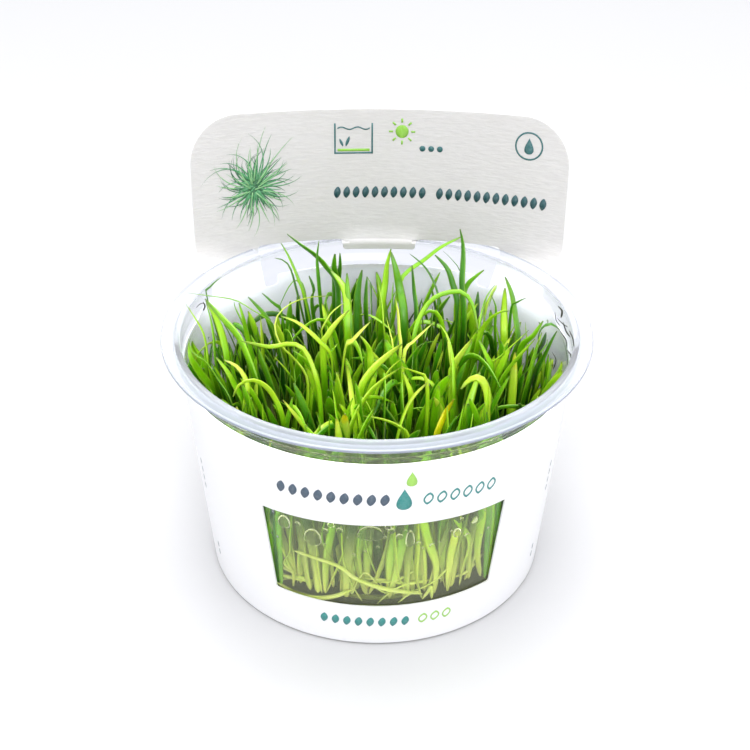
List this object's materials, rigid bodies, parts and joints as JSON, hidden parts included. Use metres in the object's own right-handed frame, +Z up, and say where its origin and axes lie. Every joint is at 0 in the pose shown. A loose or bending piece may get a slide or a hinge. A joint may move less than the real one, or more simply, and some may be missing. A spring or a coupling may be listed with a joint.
{
  "type": "tissue culture aquarium plant in a cup",
  "caption": "Dense turf of small grass-like aquarium plants on gel in a clear open cup, wrapped by a card sleeve with a window and a header panel.",
  "frame": {"origin": "middle of the cup's flat underside, on the surface that it stands on", "axes": "+Z up along the cup's axis; -Y is the front, where the sleeve's window is; the header panel stands at +Y; +X is to the right seen from the front"},
  "size_m": [0.1, 0.1, 0.096],
  "materials": {
    "clear_plastic": "clear moulded polypropylene, glossy",
    "card": "white coated carton board, satin, fine paper tooth",
    "gel": "clear nutrient gel, wet",
    "leaf": "fresh green leaf, satin, slightly wet"
  },
  "bodies": {
    "root": {"cup": "clear_plastic", "sleeve": "card", "gel": "gel", "plantlet_01": "leaf", "plantlet_02": "leaf", "plantlet_03": "leaf", "plantlet_04": "leaf", "plantlet_05": "leaf", "plantlet_06": "leaf", "plantlet_07": "leaf", "plantlet_08": "leaf", "plantlet_09": "leaf", "plantlet_10": "leaf", "plantlet_11": "leaf", "plantlet_12": "leaf", "plantlet_13": "leaf", "plantlet_14": "leaf", "plantlet_15": "leaf", "plantlet_16": "leaf", "plantlet_17": "leaf", "plantlet_18": "leaf", "plantlet_19": "leaf", "plantlet_20": "leaf", "plantlet_21": "leaf", "plantlet_22": "leaf", "plantlet_23": "leaf", "plantlet_24": "leaf", "plantlet_25": "leaf", "plantlet_26": "leaf", "plantlet_27": "leaf", "plantlet_28": "leaf", "plantlet_29": "leaf", "plantlet_30": "leaf", "plantlet_31": "leaf", "plantlet_32": "leaf", "plantlet_33": "leaf", "plantlet_34": "leaf", "plantlet_35": "leaf", "plantlet_36": "leaf", "plantlet_37": "leaf"}
  },
  "joints": []
}
